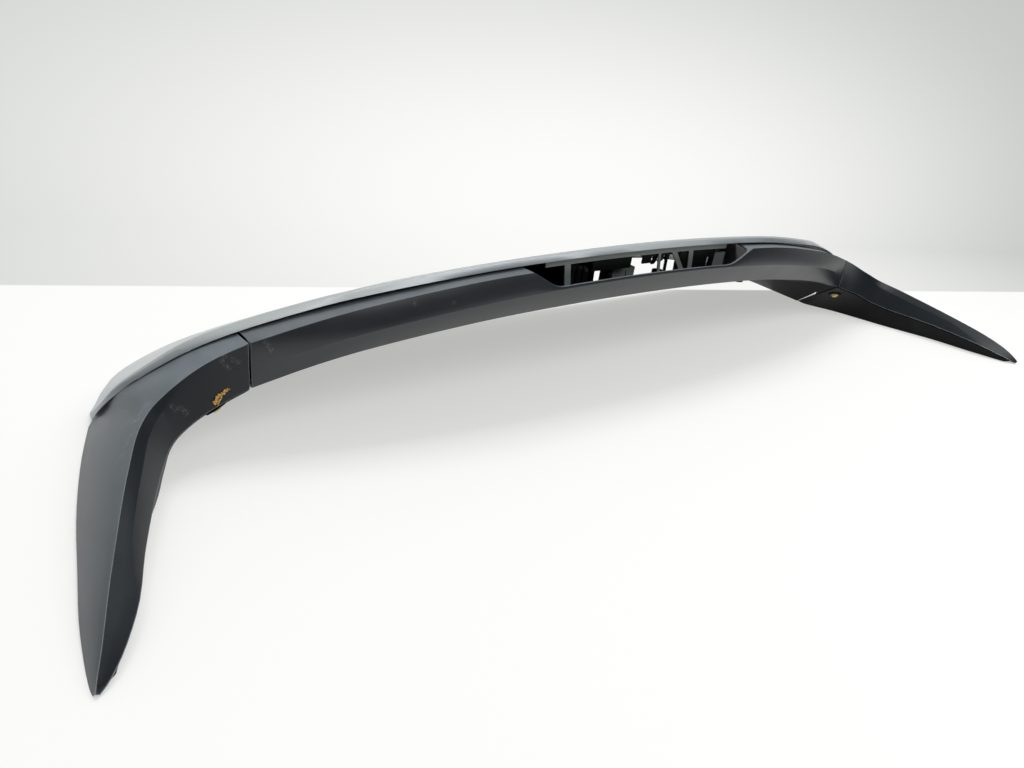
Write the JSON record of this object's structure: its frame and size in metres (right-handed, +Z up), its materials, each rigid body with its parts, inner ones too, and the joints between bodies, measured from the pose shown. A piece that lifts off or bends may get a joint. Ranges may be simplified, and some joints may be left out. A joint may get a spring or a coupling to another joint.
{
  "type": "tailgate spoiler",
  "caption": "Rear tailgate spoiler with a long curved lip, a cover with a lamp aperture below it and a side blade at each end.",
  "frame": {"origin": "middle of the bounding box, on the plane that the blade tips and the front corners stand on", "axes": "+X to the right along the lip, +Y forward over the car's roof, +Z up"},
  "size_m": [1.203, 0.3991, 0.159],
  "materials": {
    "skin_paint": "satin silver-grey paint, dull with dust",
    "cover_plastic": "satin dark grey moulding",
    "blade_plastic": "satin grey moulding, dusty on top",
    "panel_black": "dull black moulding",
    "carrier_black": "dull black moulding",
    "frame_grey": "light grey moulding",
    "stop_grey": "grey moulding",
    "insert_brass": "turned",
    "foam_black": "closed-cell foam",
    "clip_yellow": "pale yellow moulding"
  },
  "bodies": {
    "root": {"upper_skin": "skin_paint", "lower_cover": "cover_plastic", "blade_left": "blade_plastic", "blade_right": "blade_plastic", "blade_inner_left": "panel_black", "blade_inner_right": "panel_black", "inner_carrier": "carrier_black", "corner_wall_left": "panel_black", "corner_wall_right": "panel_black", "lamp_frame": "frame_grey", "connector_body": "frame_grey", "connector_latch": "carrier_black", "lamp_latch_left": "carrier_black", "lamp_latch_right": "carrier_black", "lamp_end_stop": "stop_grey", "lamp_plates": "panel_black", "threaded_inserts": "insert_brass", "insert_seals": "foam_black", "front_seal": "foam_black", "clip_socket_left": "panel_black", "clip_socket_right": "panel_black", "locator_clip_left": "clip_yellow", "locator_clip_right": "clip_yellow"}
  },
  "joints": []
}
